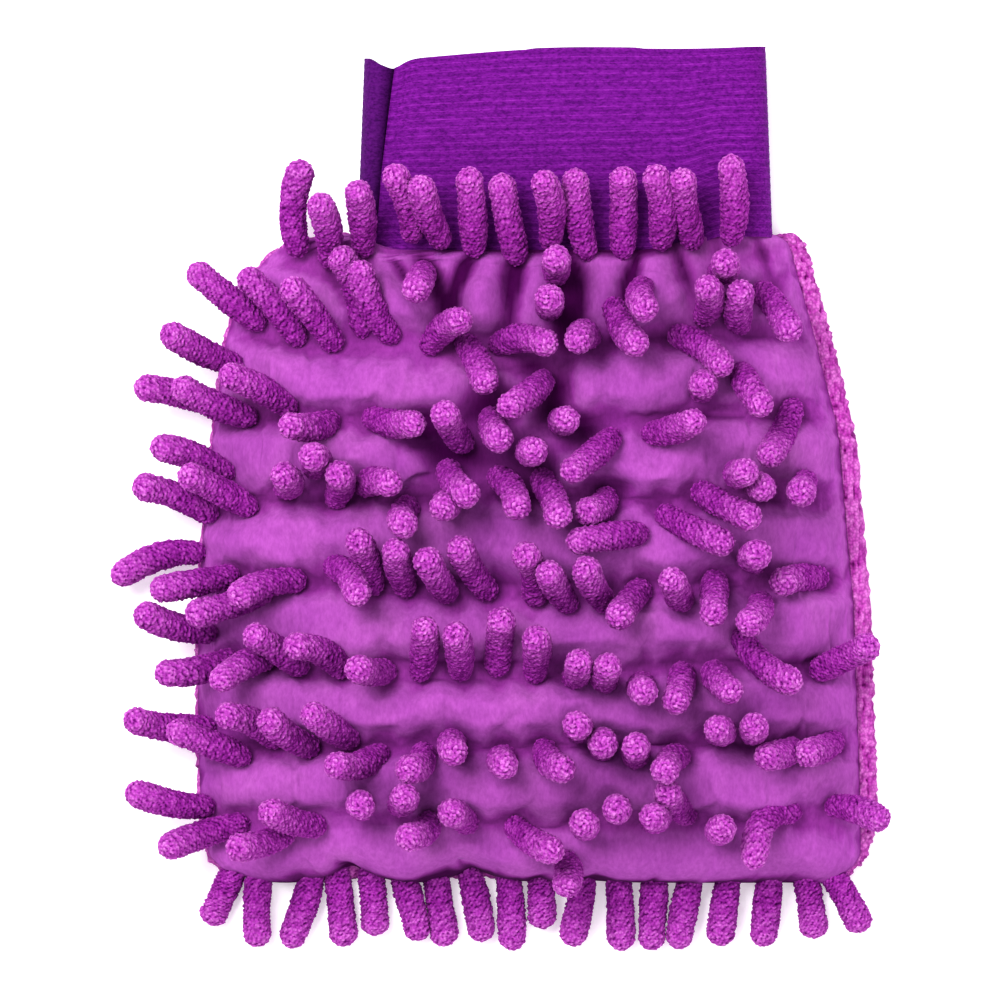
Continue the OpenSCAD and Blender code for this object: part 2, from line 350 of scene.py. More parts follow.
def webbing():
    """Woven elastic: fine ribs along the loop, flecked by the threads that cross them."""
    material, tree, shader = principled("elastic_webbing", 0.7, 0.0, (0.9, 0.4, 1.0), 0.04)
    rib = attribute(tree, "rib")
    fleck = noise(tree, 1100, 2, 0.7, stretch=(0.7, 1.5, 1.0))
    streak = noise(tree, 320, 3, 0.6, stretch=(0.35, 2.4, 1.0))
    # Painted shadow: the lowest stop darkens the strip beside the front layer's edge; the strip lies at 0.3,
    # the front layer's ribs from 0.4 up.
    ribs = ramp(tree, rib, [
        (0.0, (0.02, 0.001, 0.035)),
        (0.3, (0.105, 0.006, 0.165)),
        (0.4, (0.118, 0.005, 0.18)),
        (0.7, (0.165, 0.007, 0.24)),
        (1.0, (0.235, 0.016, 0.32)),
    ])
    shade = ramp(tree, fleck, [(0.32, (0.55, 0.40, 0.60)), (0.52, (1.0, 1.0, 1.0)), (0.72, (1.25, 1.9, 1.2))])
    flecked = mix_colour(tree, 1.0, ribs, shade, "MULTIPLY")
    soft = ramp(tree, streak, [(0.3, (0.82, 0.78, 0.84)), (0.7, (1.1, 1.15, 1.08))])
    tree.links.new(mix_colour(tree, 1.0, flecked, soft, "MULTIPLY"), shader.inputs["Base Color"])
    bump(tree, shader, fleck, 0.4, 0.0003)
    return material


def lining_cloth():
    """Thin plain-woven cloth, darker than the face."""
    material, tree, shader = principled("lining_cloth", 0.8, 0.2, (1.0, 0.8, 1.0))
    weave = noise(tree, 700, 2, 0.6, stretch=(1.0, 2.5, 1.0))
    colour = ramp(tree, weave, [(0.3, (0.24, 0.04, 0.28)), (0.7, (0.36, 0.08, 0.40))])
    tree.links.new(colour, shader.inputs["Base Color"])
    bump(tree, shader, weave, 0.4, 0.0002)
    return material


def foam():
    """Pale open-celled foam."""
    material, tree, shader = principled("foam_padding", 0.95, 0.0, (1, 1, 1))
    cells = noise(tree, 600, 4, 0.7)
    colour = ramp(tree, cells, [(0.3, (0.5, 0.42, 0.5)), (0.7, (0.72, 0.66, 0.72))])
    tree.links.new(colour, shader.inputs["Base Color"])
    bump(tree, shader, cells, 0.6, 0.0005)
    return material


def thread():
    """Twisted sewing thread near the colour of the face."""
    material, tree, shader = principled("sewing_thread", 0.5, 0.2, (1.0, 0.8, 1.0), 0.4)
    twist = noise(tree, 1800, 2, 0.6, stretch=(1.0, 0.4, 1.0))
    colour = ramp(tree, twist, [(0.3, (0.22, 0.022, 0.26)), (0.7, (0.32, 0.04, 0.36))])
    tree.links.new(colour, shader.inputs["Base Color"])
    bump(tree, shader, twist, 0.4, 0.0001)
    return material


SUEDE, CHENILLE, PLUSH, WEBBING = suede(), chenille(), plush(), webbing()
LINING, FOAM, THREAD = lining_cloth(), foam(), thread()


# ---------------------------------------------------------------- camera, lights, floor
SHOT_WIDTH = 270 * MM
CAMERA_HEIGHT = 2.6
AIM_Z = 20 * MM
FLOOR_HALF = 3.0


def make_camera(scene):
    """A long-lens camera straight above the mitt."""
    data = bpy.data.cameras.new("camera")
    data.sensor_width = 36
    data.lens = 36 * (CAMERA_HEIGHT - AIM_Z) / SHOT_WIDTH
    data.clip_end = 20
    camera = bpy.data.objects.new("camera", data)
    camera.location = (0, 0, CAMERA_HEIGHT)
    scene.collection.objects.link(camera)
    scene.camera = camera


def make_floor(scene):
    """A plain white floor that glows faintly, so that it stays white under soft light."""
    mesh = bpy.data.meshes.new("floor")
    corners = [(x * FLOOR_HALF, y * FLOOR_HALF, 0) for x, y in ((-1, -1), (1, -1), (1, 1), (-1, 1))]
    mesh.from_pydata(corners, [], [(0, 1, 2, 3)])
    floor = bpy.data.objects.new("floor", mesh)
    scene.collection.objects.link(floor)
    pale, _, shader = principled("floor", 0.9, 0.0, (1, 1, 1), 0.1)
    shader.inputs["Base Color"].default_value = (0.93, 0.93, 0.93, 1)
    shader.inputs["Emission Color"].default_value = (1, 1, 1, 1)
    shader.inputs["Emission Strength"].default_value = 0.3
    mesh.materials.append(pale)


def area_light(scene, name, place, size, power):
    """A square lamp that points at the origin."""
    lamp = bpy.data.lights.new(name, "AREA")
    lamp.size = size
    lamp.energy = power
    holder = bpy.data.objects.new(name, lamp)
    holder.location = place
    holder.rotation_euler = (-Vector(place)).to_track_quat("-Z", "Y").to_euler()
    scene.collection.objects.link(holder)


def make_stage():
    scene = bpy.context.scene
    make_camera(scene)
    make_floor(scene)
    area_light(scene, "key", (-0.55, 0.55, 1.55), 0.8, 24)
    area_light(scene, "fill", (0.9, -0.5, 1.2), 1.0, 5)
    world = bpy.data.worlds.new("studio")
    world.use_nodes = True
    world.node_tree.nodes["Background"].inputs["Color"].default_value = (1, 1, 1, 1)
    world.node_tree.nodes["Background"].inputs["Strength"].default_value = 0.6
    scene.world = world
    scene.view_settings.view_transform = "Standard"
    scene.view_settings.exposure = 0.34
    scene.view_settings.gamma = 0.88


make_stage()


# ---------------------------------------------------------------- noodle centrelines
def islands(name):
    """The separate solids of a node, as arrays of points."""
    points, faces = node_arrays(name)
    keys, inverse = np.unique(np.round(points, 6), axis=0, return_inverse=True)
    inverse = inverse.ravel()
    parent = list(range(len(keys)))

    def root(a):
        while parent[a] != a:
            parent[a] = parent[parent[a]]
            a = parent[a]
        return a

    for face in faces:
        first = root(inverse[face[0]])
        for v in face[1:]:
            parent[root(inverse[v])] = first
    groups = {}
    for k in range(len(keys)):
        groups.setdefault(root(k), []).append(keys[k])
    return [np.array(g) for g in groups.values() if len(g) > 12]


def centreline(points, inside):
    """Root and tip of a strand: the two ends along its axis, the root nearer to inside."""
    middle = (points.min(axis=0) + points.max(axis=0)) / 2
    axis = np.linalg.svd(points - points.mean(axis=0), full_matrices=False)[2][0]
    reach = (points - middle) @ axis
    ends = [middle + axis * reach.min(), middle + axis * reach.max()]
    ends.sort(key=inside)
    return ends


panel_tree = tree_of(*node_arrays("front_panel"))
lining_tree = tree_of(*node_arrays("front_lining"))


def off_panel(point):
    """How far a point lies from the front panel."""
    return panel_tree.find_nearest(Vector(point))[3]


NOODLES = {}
for row in ROWS:
    strands = [centreline(solid, off_panel) for solid in islands(f"noodle_row_{row}")]
    NOODLES[row] = sorted(strands, key=lambda ends: ends[0][0])
HEM_NOODLES = sorted(
    (centreline(solid, lambda p: -p[1]) for solid in islands("hem_noodles")),
    key=lambda ends: ends[0][0],
)
ROOTS = np.array([root for row in ROWS for root, _ in NOODLES[row]])

# ---------------------------------------------------------------- front face
FACE_COLUMNS = 165
FACE_PITCH = 1.45 * MM
# How far the elastic pulls the wrist's edge into the pocket, and towards the hem
WRIST_DIP, WRIST_DRAW = 3.5 * MM, 4.5 * MM
FACE_OVER_LINING = 1.2 * MM
SEAM_DEPTH = 3.0 * MM
# Gathers that run down from the wrist seam: x, depth, width, length (all mm), lean
GATHERS = [
    (-52, 6, 2.0, 30, 0.5),
    (-33, 5, 1.6, 26, 0.55),
    (-23, 9, 2.2, 38, 0.35),
    (-6.5, 10, 1.7, 34, -0.3),
    (5, 9, 2.4, 40, -0.1),
    (18.5, 13, 3.0, 46, 0.0),
    (37.5, 9, 1.8, 40, -0.18),
    (47, 7, 1.8, 32, 0.25),
    (58, 6, 1.8, 34, 0.2),
    (69, 5, 2.0, 28, 0.3),
]
# Hollows where the fabric is drawn far in between noodles: x, y, half width, half length, depth (all mm)
HOLLOWS = [
    (18.5, 51, 3.4, 7, 9),
    (8.5, 36, 5, 4, 7),
    (14.5, 28, 5, 6, 9),
    (-10, 12, 11, 7, 8),
    (8, 8, 9, 7, 6),
    (-20, 20, 8, 6, 7),
    (-3, 27, 8, 6, 8),
    (22, 19, 6, 5, 6),
    (30, 4, 6, 3, 3),
    (50, 22, 8, 5, 3),
]
# Pinches where the hem is drawn up: x, depth, width, length, rise of the edge (all mm), lean
PINCHES = [
    (-68, 2, 3.0, 10, 1.5, -0.5),
    (-40, 6, 2.2, 18, 5.5, -1.1),
    (-7, 5, 2.2, 16, 4.5, -0.9),
    (22, 2, 3.0, 10, 0.8, -0.4),
]


def seam_curve(row):
    """The sewn line of a noodle row: how far it sags, as a smooth curve through the roots."""
    roots = np.array([root for root, _ in NOODLES[row]])
    low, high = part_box(f"row_thread_{row}")
    base = (low[1] + high[1]) / 2
    curve = np.polyfit(roots[:, 0], roots[:, 1] - base, 3 if len(roots) > 12 else 2)
    limit = 6 * MM if row > 1 else 2.5 * MM
    return base, lambda x: np.clip(np.polyval(curve, x), -limit, limit)


SEAMS = {row: seam_curve(row) for row in ROWS}
SEAM_STOPS = [HEM_Y] + [SEAMS[row][0] for row in reversed(ROWS)] + [WRIST_Y]


def seam_lines():
    """Heights along the mitt for the grid's lines, one falling on each sewn row, and their indices."""
    ys, on_seam = [HEM_Y], []
    for low, high in zip(SEAM_STOPS[:-1], SEAM_STOPS[1:]):
        count = max(3, round((high - low) / FACE_PITCH))
        shares = eased(count + 1, 0.06)[1:]
        ys += [low + (high - low) * share for share in shares]
        on_seam.append(len(ys) - 1)
    return np.array(ys), on_seam[:-1]


LINE_YS, SEAM_INDEX = seam_lines()


def sagged(x, y):
    """A point's y once the sewn rows sag: nothing at the hem and the wrist, the row's own sag at each row."""
    sags = [0 * x] + [SEAMS[row][1](x) for row in reversed(ROWS)] + [0 * x]
    for k in range(len(SEAM_STOPS) - 1):
        if y <= SEAM_STOPS[k + 1] + 1e-9:
            share = (y - SEAM_STOPS[k]) / (SEAM_STOPS[k + 1] - SEAM_STOPS[k])
            return y + sags[k] + (sags[k + 1] - sags[k]) * share
    return y + 0 * x


def fullness_of(flat):
    """0 at the seam all round, 1 once the face stands 12 mm over it."""
    return smooth_step((flat[:, 2] - SEAM_Z) / (12 * MM))


def face_grid():
    """The sewn front before it settles: the CAD height, creased along the sewn rows and at the roots."""
    grid = np.zeros((len(LINE_YS), FACE_COLUMNS, 3))
    for j, line_y in enumerate(LINE_YS):
        xs = front_left(line_y) + (front_right(line_y) - front_left(line_y)) * eased(FACE_COLUMNS, 0.09)
        middle = 1 - np.abs(np.linspace(-1, 1, FACE_COLUMNS)) ** 6
        ys = line_y + (sagged(xs, line_y) - line_y) * middle
        for i, (x, y) in enumerate(zip(xs, ys)):
            inner_x = min(max(x, front_left(y) + 0.3 * MM), front_right(y) - 0.3 * MM)
            inner_y = min(max(y, HEM_Y + 0.3 * MM), WRIST_Y - 0.4 * MM)
            edge = i in (0, FACE_COLUMNS - 1) or j == 0
            z = SEAM_Z if edge else height_on(panel_tree, inner_x, inner_y, SEAM_Z)
            grid[j, i] = (x, y, z)
    flat = grid.reshape(-1, 3)
    fullness = fullness_of(flat)
    level = np.ones(len(flat))
    for root in ROOTS:
        dx, dy = (flat[:, 0] - root[0]) / (6 * MM), (flat[:, 1] - root[1]) / (5 * MM)
        level *= 1 - 0.85 * np.exp(-(dx**2) - dy**2)
    flat[:, 2] -= 3.2 * MM * (1 - level) * fullness
    down = np.repeat(LINE_YS, FACE_COLUMNS)
    for k in SEAM_INDEX:
        crease = np.exp(-np.abs((down - LINE_YS[k]) / (4.5 * MM)) ** 1.4)
        flat[:, 2] -= SEAM_DEPTH * crease * fullness
    return grid


def fold(flat, distance, x, width, lean):
    """How near each point lies to a fold's line, 1 on it. Distance along the fold is in mm."""
    across = (flat[:, 0] / MM - x - lean * distance) / (width * (1 + distance / 45))
    return np.exp(-np.abs(across) ** 1.4)


def cuff_reach(x):
    """1 across the gathered part of the mouth, easing to 0 at its sides: the right end lies smooth."""
    left = smooth_step((x - CUFF_BACK_LOW[0]) / (8 * MM))
    return left * smooth_step((CUFF_BACK_HIGH[0] - 12 * MM - x) / (24 * MM))


def wrist_draw(points):
    """How far the elastic draws each point down from the wrist."""
    down = (WRIST_Y - points[:, 1]) / MM
    return WRIST_DRAW * np.clip(1 - down / 14, 0, 1) * cuff_reach(points[:, 0])


def gather(grid):
    """Folds that the elastic draws in at the wrist, pinches at the hem, and loose waves, with the painted
    shade of the folds, the hollows and a band under the cuff.
    """
    flat = grid.reshape(-1, 3)
    fullness = fullness_of(flat)
    down = (WRIST_Y - np.repeat(LINE_YS, FACE_COLUMNS)) / MM
    up = (np.repeat(LINE_YS, FACE_COLUMNS) - HEM_Y) / MM
    pull = np.zeros(len(flat))
    for x, depth, width, length, lean in GATHERS:
        reach = (0.5 + 0.5 * smooth_step(down / 8)) * np.clip(1 - down / length, 0, 1) ** 0.7
        pull += depth * reach * fold(flat, down, x, width, lean)
    for x, y, half_width, half_length, depth in HOLLOWS:
        off = ((flat[:, 0] / MM - x) / half_width) ** 2 + ((flat[:, 1] / MM - y) / half_length) ** 2
        pull += depth * np.exp(-off)
    pillow = 5.5 * smooth_step(down / 6) * smooth_step((38 - down) / 22) * np.exp(-pull / 3.0)
    pull = 15 * np.tanh(pull / 15)
    under_cuff = cuff_reach(flat[:, 0])
    # Painted shade for the face's colour: darker along the folds and in the hollows, and in a band just under
    # the cuff where the cuff shades the face.
    shade = np.maximum(pull / 13, 0.46 * np.clip(1 - down / 6, 0, 1) * under_cuff)
    flat[:, 2] -= pull * MM * fullness
    flat[:, 2] -= WRIST_DIP * np.clip(1 - down / 7, 0, 1) ** 1.5 * under_cuff
    flat[:, 1] -= WRIST_DRAW * np.clip(1 - down / 14, 0, 1) * under_cuff
    room = (flat[:, 2] - SEAM_Z) / (flat[:, 2] - SEAM_Z + 3 * MM)
    for x, depth, width, length, rise, lean in PINCHES:
        drawn = fold(flat, up, x, width, lean) * np.clip(1 - up / length, 0, 1) ** 0.7
        flat[:, 2] -= depth * MM * drawn * room
        flat[:, 1] += rise * MM * np.exp(-np.abs((flat[:, 0] / MM - x) / 8) ** 1.3) * np.exp(-up / 7)
    flat[:, 1] -= 0.7 * MM * np.exp(-up / 6) * smooth_step((15 - flat[:, 0] / MM) / 20)
    away = np.full(len(flat), 1.0)
    for k in SEAM_INDEX:
        away = np.minimum(away, np.abs((WRIST_Y - LINE_YS[k]) / MM - down) * MM)
    pucker = waves(flat * (1, 0.12, 0), 21, 15 * MM, 2)
    flat[:, 2] += 0.5 * MM * pucker * np.exp(-away / (5 * MM)) * fullness
    flat[:, 2] += 1.3 * MM * waves(flat * (1, 1, 0), 5, 42 * MM) * fullness
    flat[:, 2] += 0.3 * MM * waves(flat * (1, 1.5, 0), 6, 10 * MM, 2) * fullness
    floor = np.array([height_on(lining_tree, x, y, 0.0) for x, y in flat[:, :2]]) + FACE_OVER_LINING
    gap = flat[:, 2] - floor
    flat[:, 2] = floor + np.where(gap > MM, gap, MM * np.exp(np.minimum(gap / MM, 1) - 1)) * (floor > 0.006) \
        + gap * (floor <= 0.006)
    flat[:, 2] += pillow * MM * fullness * under_cuff
    return grid, shade


SETTLE_FRAMES = 24
SETTLE_PRESSURE = 2.4
SETTLE_SLACK = -0.07
SETTLE_CAP = 4.5 * MM


def settle(grid):
    """Cloth simulation: the face puffs between the stitches that hold it."""
    rows, columns = grid.shape[:2]
    start = grid.reshape(-1, 3).copy()
    mesh = bpy.data.meshes.new("settling")
    mesh.from_pydata([tuple(p) for p in start], [], grid_faces(rows, columns))
    cloth = bpy.data.objects.new("settling", mesh)
    bpy.context.scene.collection.objects.link(cloth)
    near_root = np.full(len(start), 1.0)
    for root in ROOTS:
        near_root = np.minimum(near_root, np.hypot(start[:, 0] - root[0], start[:, 1] - root[1]))
    held = near_root < 2.0 * MM
    index = np.arange(len(start)).reshape(rows, columns)
    for k in [0, rows - 2, rows - 1] + SEAM_INDEX:
        held[index[k]] = True
    held[index[:, 0]] = held[index[:, -1]] = True
    group = cloth.vertex_groups.new(name="held")
    group.add([int(i) for i in np.flatnonzero(held)], 1.0, "REPLACE")
    modifier = cloth.modifiers.new("cloth", "CLOTH")
    settings = modifier.settings
    settings.quality = 6
    settings.mass = 0.2
    settings.tension_stiffness = settings.compression_stiffness = 14
    settings.shear_stiffness = 5
    settings.bending_stiffness = 0.25
    settings.vertex_group_mass = "held"
    settings.use_pressure = True
    settings.uniform_pressure_force = SETTLE_PRESSURE
    settings.shrink_min = SETTLE_SLACK
    settings.effector_weights.gravity = 0
    modifier.collision_settings.use_collision = False
    modifier.collision_settings.use_self_collision = False
    modifier.point_cache.frame_start, modifier.point_cache.frame_end = 1, SETTLE_FRAMES
    scene = bpy.context.scene
    for step in range(1, SETTLE_FRAMES + 1):
        scene.frame_set(step)
    graph = bpy.context.evaluated_depsgraph_get()
    done = cloth.evaluated_get(graph).data
    ended = np.zeros(len(start) * 3)
    done.vertices.foreach_get("co", ended)
    scene.frame_set(1)
    moved = ended.reshape(-1, 3) - start
    length = np.linalg.norm(moved, axis=1, keepdims=True)
    moved *= np.minimum(1, SETTLE_CAP / np.maximum(length, 1e-9))
    bpy.data.objects.remove(cloth)
    bpy.data.meshes.remove(mesh)
    return (start + moved).reshape(rows, columns, 3)


def lowered(grid, passes=3):
    """The settled face's lower envelope: each point takes the lowest height near it."""
    low = grid[:, :, 2].copy()
    rows, columns = low.shape
    for _ in range(passes):
        padded = np.pad(low, 1, mode="edge")
        low = np.min([padded[a:a + rows, b:b + columns] for a in range(3) for b in range(3)], axis=0)
    envelope = grid.copy()
    envelope[:, :, 2] = low
    return tree_of(envelope.reshape(-1, 3), grid_faces(rows, columns))


def drawn_in(grid, inset, step):
    """A coarser copy of the face's grid with its outline drawn in."""
    x, y = grid[::step, ::step, 0], grid[::step, ::step, 1]
    middle, half = (x[:, -1:] + x[:, :1]) / 2, (x[:, -1:] - x[:, :1]) / 2
    low_y, span = y.min(), y.max() - y.min()
    layer = np.zeros((*x.shape, 3))
    layer[:, :, 0] = middle + (x - middle) * (1 - inset / half)
    layer[:, :, 1] = low_y + inset + (y - low_y) * (1 - 2 * inset / span)
    return layer


def on_front(piece, *nodes):
    """A piece of the front: its placement baked into its points, and the CAD nodes it stands for hidden."""
    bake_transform(piece)
    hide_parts(*nodes)
    return piece


FACE = face_grid()
FACE = settle(FACE)
FACE, PAINTED_FACE_SHADE = gather(FACE)


def hollowness(grid, reach=7):
    """How far each point lies under the average of the face round it, in mm."""
    z = grid[:, :, 2]
    soft = z.copy()
    for _ in range(reach * 3):
        padded = np.pad(soft, 1, mode="edge")
        soft = (padded[:-2, 1:-1] + padded[2:, 1:-1] + padded[1:-1, :-2] + padded[1:-1, 2:]) / 4
    return ((soft - z) / MM).ravel()


def make_face():
    """The gathered face as a closed sheet, with painted shade as an attribute: darker where it lies hollow,
    along the folds and under the cuff.
    """
    under = FACE - np.array((0, 0, 1.1 * MM))
    under[:, :, 2] = np.maximum(under[:, :, 2], SEAM_Z - 0.4 * MM)
    points, faces = shell(FACE, under)
    piece = new_piece("front_face", points, faces, SUEDE)
    # Painted shade: hollows, folds and the band under the cuff darken the suede's colour.
    painted_shade = np.clip(0.35 + hollowness(FACE) / 5 + 1.15 * PAINTED_FACE_SHADE, 0, 1)
    set_attribute(piece, "painted_shade", np.concatenate([painted_shade, painted_shade]))
    fine = piece.modifiers.new("fine", "SUBSURF")
    fine.levels = fine.render_levels = 1
    on_front(piece, "front_panel")


def make_padding():
    """Foam between the face and the lining, pressed thin where the face is drawn in."""
    envelope = lowered(FACE)
    bottom = drawn_in(FACE, 6.5 * MM, 2)
    top = bottom.copy()
    for j in range(bottom.shape[0]):
        for i in range(bottom.shape[1]):
            x, y = bottom[j, i, :2]
            base = height_on(lining_tree, x, y, SEAM_Z + 0.2 * MM) + 0.3 * MM
            bottom[j, i, 2] = base
            room = height_on(envelope, x, y, base) - 1.5 * MM - base
            top[j, i, 2] = base + min(max(room, 0.15 * MM), 5 * MM)
    points, faces = shell(top, bottom)
    piece = new_piece("padding", points, faces, FOAM)
    on_front(piece, "front_padding")


def make_front_lining():
    """The pocket's upper cloth, as the CAD lays it, with a few soft waves."""
    points, faces = welded(*node_arrays("front_lining"))
    inner = smooth_step((points[:, 2] - SEAM_Z) / (6 * MM))
    points[:, 2] += 0.15 * MM * waves(points * (1, 1, 0), 12, 30 * MM) * inner
    points[:, 1] -= 1.3 * wrist_draw(points)
    piece = new_piece("pocket_front_lining", points, faces, LINING)
    on_front(piece, "front_lining")


make_face()
make_padding()
make_front_lining()
face_tree = tree_of(FACE.reshape(-1, 3), grid_faces(len(LINE_YS), FACE_COLUMNS))

# ---------------------------------------------------------------- noodles
STRAND_RINGS, STRAND_SIDES = 96, 54
STRAND_RADIUS = 3.5 * MM
CRUMB_ALONG, CRUMB_AROUND = 0.95 * MM, 1.3 * MM
PILE_HEIGHT = 1.0 * MM
TEMPLATE_LENGTH = 26 * MM
TEMPLATES = 9


def strand_profile(length, radius, count):
    """Distance along and radius at count stations of a round-ended strand."""
    quarter = radius * math.pi / 2
    reach = np.linspace(0, 2 * quarter + length - 2 * radius, count)
    along, across = np.zeros(count), np.zeros(count)
    for k, s in enumerate(reach):
        if s < quarter:
            along[k], across[k] = radius * (1 - math.cos(s / radius)), radius * math.sin(s / radius)
        elif s > quarter + length - 2 * radius:
            turn = (s - quarter - length + 2 * radius) / radius
            along[k] = length - radius + radius * math.sin(turn)
            across[k] = radius * math.cos(turn)
        else:
            along[k], across[k] = radius + s - quarter, radius
    return along, across


def strand_template(seed):
    """Distances along, radii, angles and pile height of one chenille strand, covered in slanted crumbs."""
    rng = np.random.default_rng(seed)
    along, across = strand_profile(TEMPLATE_LENGTH, STRAND_RADIUS, STRAND_RINGS)
    angles = np.linspace(0, 2 * math.pi, STRAND_SIDES, endpoint=False)
    total = STRAND_RADIUS * math.pi + TEMPLATE_LENGTH - 2 * STRAND_RADIUS
    reach = np.linspace(0, total, STRAND_RINGS)
    pile = np.zeros((STRAND_RINGS, STRAND_SIDES))
    turn = rng.uniform(0, 6.28)
    for s in np.arange(0.3 * MM, total, CRUMB_ALONG * 0.9):
        local = np.interp(s, reach, across)
        around = max(3, round(2 * math.pi * local / CRUMB_AROUND))
        turn += 0.5 / around * 6.28 + rng.normal(0, 0.05)
        for a in range(around):
            centre = turn + 2 * math.pi * a / around + rng.normal(0, 0.3) / around
            middle = s + rng.normal(0, 0.16 * MM)
            tall = rng.uniform(0.5, 1.0)
            near = np.abs(reach - middle) < 1.2 * CRUMB_ALONG
            off = (angles - centre + math.pi) % (2 * math.pi) - math.pi
            sideways = across[near][:, None] * off[None, :]
            forward = (reach[near] - middle)[:, None] + 0.35 * sideways
            share = 1 - (forward / (CRUMB_ALONG * 0.62)) ** 2 - (sideways / (CRUMB_AROUND * 0.6)) ** 2
            pile[near] = np.maximum(pile[near], np.sqrt(np.clip(share, 0, 1)) * tall)
    return along, across, angles, pile


TEMPLATE_SET = [strand_template(100 + k) for k in range(TEMPLATES)]


# Noodles that lie in a marked bow: row, x of the root (mm), sideways bow (x, y, mm)
BOWS = [
    (5, -82, (0.5, 3.4)),
    (5, -75, (0, 2.2)),
    (6, 64, (-1.2, -2.6)),
    (8, 82, (-3.5, 5.5)),
    (2, -38, (1.5, 2.5)),
    (6, -62, (1.2, 2.4)),
    (4, 33, (0.6, 2.8)),
]


def bow_of(row, root):
    """The marked bow of a row's noodle, or None."""
    for bowed_row, x, bow in BOWS:
        if bowed_row == row and abs(root[0] / MM - x) < 3:
            return np.array((bow[0], bow[1], 0.0)) * MM
    return None


def strand(root, tip, rng, template, sway, bow=None):
    """One bent chenille strand between two points: its points, pile and share along."""
    along, across, angles, pile = template
    root, tip = np.array(root), np.array(tip)
    chord = tip - root
    length = np.linalg.norm(chord)
    t = along / TEMPLATE_LENGTH
    axis = chord / length
    side = np.cross(axis, (0, 0, 1.0) if abs(axis[2]) < 0.9 else (0, 1.0, 0))
    side /= np.linalg.norm(side)
    over = np.cross(side, axis)
    turn = rng.uniform(0, 2 * math.pi)
    lean = side * math.cos(turn) + over * math.sin(turn)
    amount = sway * rng.uniform(0.3, 1.0)
    swing = lean * amount if bow is None else bow
    spine = root + np.outer(t, chord) + np.outer(4 * t * (1 - t), swing)
    ahead = chord + np.outer(4 * (1 - 2 * t), swing)
    ahead /= np.linalg.norm(ahead, axis=1, keepdims=True)
    sides = np.cross(ahead, over)
    sides /= np.linalg.norm(sides, axis=1, keepdims=True)
    overs = np.cross(sides, ahead)
    swell = 0.84 + 0.16 * smooth_step(t * 2.2) + 0.04 * np.sin(t * 8 + rng.uniform(0, 6.3))
    lift = (pile - 0.35) * PILE_HEIGHT
    radius = across[:, None] * swell[:, None] + lift * smooth_step(across[:, None] / (1.2 * MM))
    cap_lift = lift * (1 - smooth_step(across[:, None] / (2.6 * MM)))
    ends = np.where(t > 0.5, 1, -1)[:, None]
    points = (spine[:, None, :] + sides[:, None, :] * (radius * np.cos(angles))[:, :, None]
              + overs[:, None, :] * (radius * np.sin(angles))[:, :, None]
              + ahead[:, None, :] * (cap_lift * ends)[:, :, None])
    return points.reshape(-1, 3), pile.ravel(), np.repeat(t, STRAND_SIDES)


def strand_faces(first):
    """The faces of one strand whose points start at index first."""
    faces = []
    for j in range(STRAND_RINGS - 1):
        for i in range(STRAND_SIDES):
            a, b = first + j * STRAND_SIDES + i, first + j * STRAND_SIDES + (i + 1) % STRAND_SIDES
            faces.append((a, b, b + STRAND_SIDES, a + STRAND_SIDES))
    faces.append(tuple(first + i for i in range(STRAND_SIDES - 1, -1, -1)))
    last = first + (STRAND_RINGS - 1) * STRAND_SIDES
    faces.append(tuple(last + i for i in range(STRAND_SIDES)))
    return faces


def make_noodles(name, strands, seed, sway=2.8 * MM, row=0):
    """All the strands of one row as one piece, none of them below the floor."""
    rng = np.random.default_rng(seed)
    points, faces, pile, along = [], [], [], []
    for k, (root, tip) in enumerate(strands):
        part, part_pile, part_along = strand(root, tip, rng, TEMPLATE_SET[(k * 4 + seed) % TEMPLATES], sway,
                                              bow_of(row, root))
        faces += strand_faces(len(points) * STRAND_RINGS * STRAND_SIDES)
        points.append(part)
        pile.append(part_pile)
        along.append(part_along)
    points = np.concatenate(points)
    points[:, 2] = np.maximum(points[:, 2], 0.0)
    piece = new_piece(name, points, faces, CHENILLE)
    set_attribute(piece, "pile", np.concatenate(pile))
    set_attribute(piece, "along", np.concatenate(along))
    return piece


def seated(root, tip):
    """The strand moved up or down so that its root sits in the settled face, and over the cuff near it."""
    surface = height_on(face_tree, root[0], root[1], root[2])
    deepest = -4 * MM * smooth_step((WRIST_Y - 4 * MM - root[1]) / (10 * MM)) - 1.5 * MM
    rise = min(max(surface - 0.6 * MM - root[2], deepest), 3 * MM)
    shift = np.array((0, 0, rise))
    return root + shift, tip + shift


for row in ROWS:
    piece = make_noodles(f"noodles_row_{row}", [seated(*ends) for ends in NOODLES[row]], row, row=row)
    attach(piece, "front")
    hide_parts(f"noodle_row_{row}")

HEM_TUCK = 7 * MM
hem_strands = []
for root, tip in HEM_NOODLES:
    direction = (root - tip) / np.linalg.norm(root - tip)
    hem_strands.append((root + direction * HEM_TUCK, tip))
piece = make_noodles("noodles_hem", hem_strands, 40, 1.2 * MM)
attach(piece, "back")
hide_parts("hem_noodles")


# ---------------------------------------------------------------- cuff
WEB_T = 1.3 * MM
RIB_COUNT = 25
CUFF_TAPER = 0.035
CUFF_SLOPE = 2.2
FOLD_LOW_X, FOLD_HIGH_X = CUFF_BACK_LOW[0] + 4 * MM, CUFF_BACK_LOW[0] + 8.5 * MM


